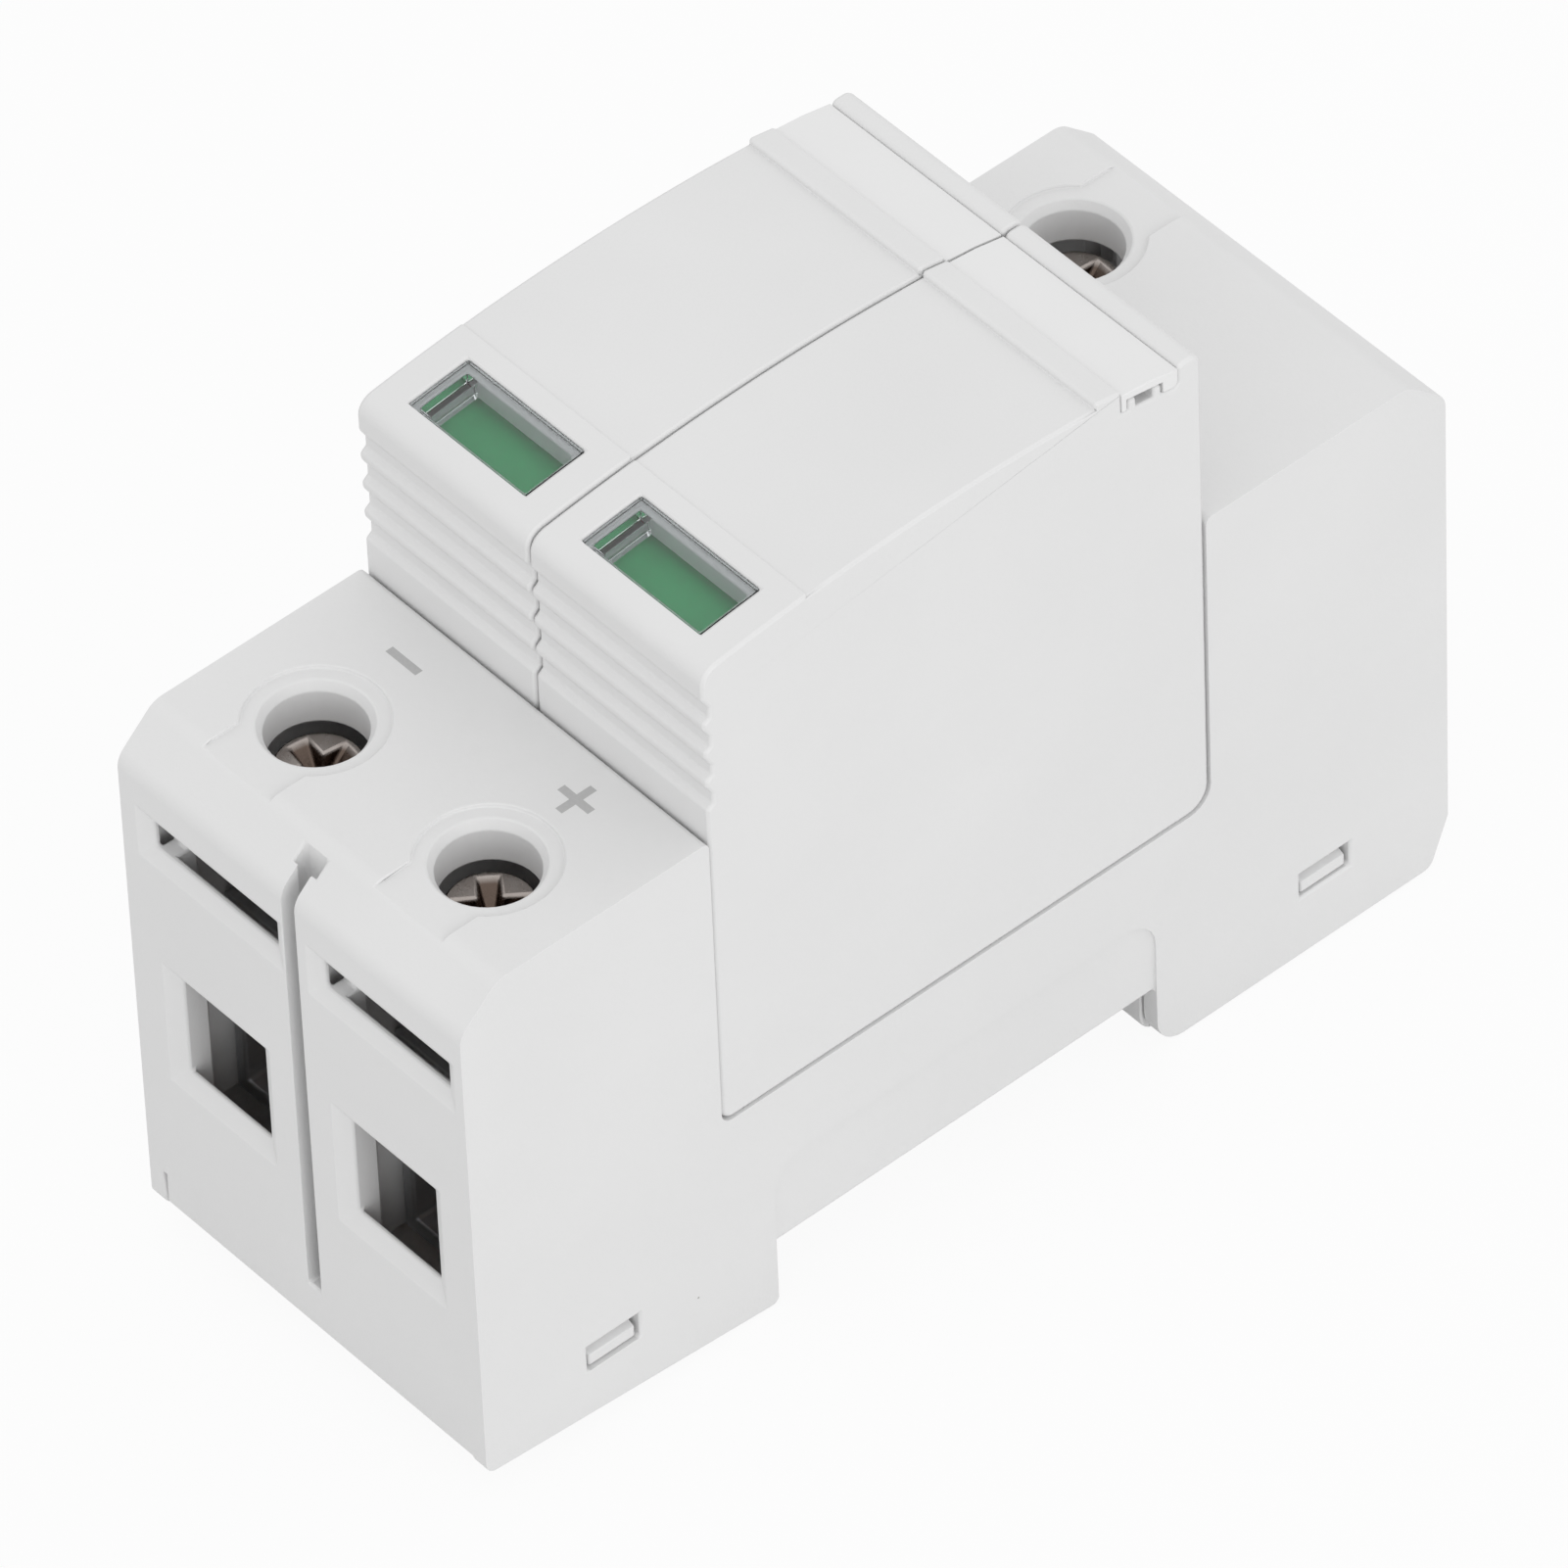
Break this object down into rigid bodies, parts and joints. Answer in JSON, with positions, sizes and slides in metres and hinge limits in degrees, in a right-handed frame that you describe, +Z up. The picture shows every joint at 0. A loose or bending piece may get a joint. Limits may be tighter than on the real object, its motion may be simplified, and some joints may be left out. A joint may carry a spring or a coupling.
{
  "type": "din rail surge arrester",
  "caption": "Surge arrester for a top hat rail: a light grey base with screw terminals at both ends holds plug-in modules with green status windows.",
  "frame": {"origin": "on the plane of the soles, under the middle of the base", "axes": "+X across the poles from minus to plus, +Y from the line terminals to the earth terminal, +Z up, away from the rail"},
  "size_m": [0.036, 0.09, 0.0665],
  "materials": {
    "housing": "fine spark eroded texture",
    "marker": "smooth satin",
    "lens": "clear polycarbonate",
    "flag": "smooth",
    "status": "smooth",
    "inner_plastic": "smooth",
    "cage_steel": "zinc plated",
    "screw": "nickel plated",
    "contact": "stamped copper alloy",
    "blade": "tin plated copper",
    "spring": "spring wire",
    "varistor": "dipped epoxy coat"
  },
  "bodies": {
    "base": {"base_shell": "housing", "bottom_cover": "housing", "minus_contact": "contact", "plus_contact": "contact", "earth_busbar": "contact", "latch_spring": "spring"},
    "latch": {"rail_latch": "housing"},
    "minus_cage": {"minus_cage": "cage_steel"},
    "plus_cage": {"plus_cage": "cage_steel"},
    "earth_cage": {"earth_cage": "cage_steel"},
    "minus_screw": {"minus_screw": "screw"},
    "plus_screw": {"plus_screw": "screw"},
    "earth_screw": {"earth_screw": "screw"},
    "minus_module": {"minus_case": "housing", "minus_base_plate": "inner_plastic", "minus_lens": "lens", "minus_marker": "marker", "minus_varistor": "varistor", "minus_line_blade": "blade", "minus_earth_blade": "blade", "minus_thermal_link": "contact", "minus_lever_pin": "spring", "minus_trip_spring": "spring", "minus_status_plate": "status"},
    "plus_module": {"plus_case": "housing", "plus_base_plate": "inner_plastic", "plus_lens": "lens", "plus_marker": "marker", "plus_varistor": "varistor", "plus_line_blade": "blade", "plus_earth_blade": "blade", "plus_thermal_link": "contact", "plus_lever_pin": "spring", "plus_trip_spring": "spring", "plus_status_plate": "status"},
    "minus_trip": {"minus_lever": "inner_plastic", "minus_flag": "flag"},
    "plus_trip": {"plus_lever": "inner_plastic", "plus_flag": "flag"}
  },
  "joints": [
    {"name": "minus_module_pull", "type": "slide", "parent": "base", "child": "minus_module", "axis": [0, 0, 1], "range_m": [0, 0.045]},
    {"name": "plus_module_pull", "type": "slide", "parent": "base", "child": "plus_module", "axis": [0, 0, 1], "range_m": [0, 0.045]},
    {"name": "latch_slide", "type": "slide", "parent": "base", "child": "latch", "axis": [0, 1, 0], "range_m": [0, 0.003], "stiffness_N_per_m": 2000, "springref_m": -0.002, "deforming": ["latch_spring"]},
    {"name": "minus_screw_turn", "type": "hinge", "parent": "base", "child": "minus_screw", "pos_m": [-0.009, -0.0346, 0.045], "axis": [0, 0, -1], "range_deg": [0, 4320]},
    {"name": "plus_screw_turn", "type": "hinge", "parent": "base", "child": "plus_screw", "pos_m": [0.009, -0.0346, 0.045], "axis": [0, 0, -1], "range_deg": [0, 4320]},
    {"name": "earth_screw_turn", "type": "hinge", "parent": "base", "child": "earth_screw", "pos_m": [-0.009, 0.0346, 0.045], "axis": [0, 0, -1], "range_deg": [0, 4320]},
    {"name": "minus_cage_rise", "type": "slide", "parent": "base", "child": "minus_cage", "axis": [0, 0, 1], "range_m": [0, 0.0096]},
    {"name": "plus_cage_rise", "type": "slide", "parent": "base", "child": "plus_cage", "axis": [0, 0, 1], "range_m": [0, 0.0096]},
    {"name": "earth_cage_rise", "type": "slide", "parent": "base", "child": "earth_cage", "axis": [0, 0, 1], "range_m": [0, 0.0096]},
    {"name": "minus_trip_swing", "type": "hinge", "parent": "minus_module", "child": "minus_trip", "pos_m": [-0.009, -0.0146, 0.0435], "axis": [-1, 0, 0], "range_deg": [0, 20], "deforming": ["minus_trip_spring", "minus_thermal_link"]},
    {"name": "plus_trip_swing", "type": "hinge", "parent": "plus_module", "child": "plus_trip", "pos_m": [0.009, -0.0146, 0.0435], "axis": [-1, 0, 0], "range_deg": [0, 20], "deforming": ["plus_trip_spring", "plus_thermal_link"]}
  ],
  "couplings": [
    {"joint": "minus_screw_turn", "follows": "minus_cage_rise", "rad_per_m": 7853.9},
    {"joint": "plus_screw_turn", "follows": "plus_cage_rise", "rad_per_m": 7853.9},
    {"joint": "earth_screw_turn", "follows": "earth_cage_rise", "rad_per_m": 7853.9}
  ]
}
